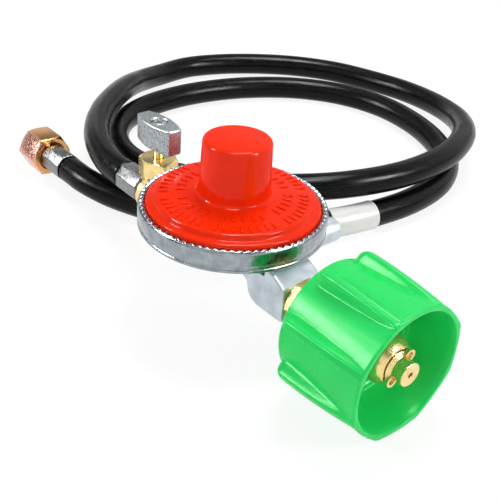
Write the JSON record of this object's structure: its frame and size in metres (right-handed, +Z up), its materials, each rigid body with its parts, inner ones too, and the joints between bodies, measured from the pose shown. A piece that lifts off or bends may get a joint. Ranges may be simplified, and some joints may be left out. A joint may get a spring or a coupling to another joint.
{
  "type": "propane regulator hose",
  "caption": "Low-pressure gas regulator with a red bonnet, green hand nut on a brass nipple, lever valve and a looped rubber hose ending in a swivel flare nut.",
  "frame": {"origin": "under the middle of the hard pieces (regulator, nut, valve), on the surface it lies on", "axes": "+X along the inlet towards the hand nut's mouth, +Y towards the pressure tapping and the hose loops, +Z up along the bonnet"},
  "size_m": [0.3155, 0.2755, 0.0754],
  "materials": {
    "zinc": "plated zinc casting, satin",
    "red_paint": "gloss red paint",
    "brass": "turned brass, bright",
    "steel": "plated steel",
    "lever_metal": "cast, tumbled top",
    "green_plastic": "moulded green nylon",
    "black_plastic": "moulded black",
    "seal_rubber": "matte",
    "seal_white": "smooth white",
    "hose_rubber": "satin extruded rubber",
    "ferrule_steel": "plated, crimped",
    "chromate": "yellow chromate plate",
    "label_white": "bare white film"
  },
  "bodies": {
    "regulator": {"body_casting": "zinc", "tap_plug": "steel", "bonnet": "red_paint", "spring_button": "steel", "range_spring": "steel", "diaphragm": "seal_rubber", "lever_pin": "steel", "inlet_orifice": "brass", "inlet_nipple": "brass", "nipple_nose": "brass", "flow_spring": "steel", "valve_body": "brass", "ball_seat_inner": "seal_white", "ball_seat_outer": "seal_white", "stem_packing": "seal_white", "valve_bonnet_nut": "brass", "hose_adapter": "brass", "ferrule_valve": "ferrule_steel", "hose_end_valve": "hose_rubber", "hose": "hose_rubber", "label_sleeve": "label_white", "hose_end_flare": "hose_rubber", "ferrule_flare": "ferrule_steel", "flare_tailpiece": "chromate"},
    "bushing": {"thermal_bushing": "black_plastic"},
    "hand_nut": {"handwheel_nut": "green_plastic"},
    "diaphragm_stack": {"diaphragm_plate": "steel", "pusher_post": "brass", "post_nut": "steel"},
    "lever": {"lever_arm": "steel"},
    "disc": {"disc_holder": "brass", "seat_disc": "seal_rubber"},
    "limiter": {"flow_piston": "steel"},
    "valve_key": {"valve_ball": "steel", "valve_stem": "brass", "lever_handle": "lever_metal", "handle_screw": "brass"},
    "swivel_nut": {"flare_nut": "chromate"}
  },
  "joints": [
    {"name": "nut_slide", "type": "slide", "parent": "regulator", "child": "bushing", "axis": [1, 0, 0], "range_m": [-0.0045, 0]},
    {"name": "nut_spin", "type": "hinge", "parent": "bushing", "child": "hand_nut", "pos_m": [0.04705, -0.00425, 0.02634], "axis": [1, 0, 0], "continuous": true},
    {"name": "diaphragm_lift", "type": "slide", "parent": "regulator", "child": "diaphragm_stack", "axis": [0, 0, 1], "range_m": [0, 0.0009], "stiffness_N_per_m": 500, "springref_m": -0.004, "deforming": ["range_spring", "diaphragm"]},
    {"name": "lever_rock", "type": "hinge", "parent": "regulator", "child": "lever", "pos_m": [-0.018, -0.00425, 0.03374], "axis": [0, -1, 0], "range_deg": [0, 7]},
    {"name": "disc_slide", "type": "slide", "parent": "regulator", "child": "disc", "axis": [1, 0, 0], "range_m": [0, 0.0009]},
    {"name": "limiter_slide", "type": "slide", "parent": "regulator", "child": "limiter", "axis": [-1, 0, 0], "range_m": [0, 0.0016], "stiffness_N_per_m": 100, "springref_m": -0.002, "deforming": ["flow_spring"]},
    {"name": "valve_turn", "type": "hinge", "parent": "regulator", "child": "valve_key", "pos_m": [-0.061, -0.00425, 0.02634], "axis": [0, 0, 1], "range_deg": [0, 90]},
    {"name": "flare_spin", "type": "hinge", "parent": "regulator", "child": "swivel_nut", "pos_m": [-0.1578, -0.00655, 0.00966], "axis": [1, 0, 0], "continuous": true}
  ],
  "couplings": [
    {"joint": "lever_rock", "follows": "diaphragm_lift", "rad_per_m": 135.13},
    {"joint": "disc_slide", "follows": "diaphragm_lift", "ratio": 1}
  ]
}
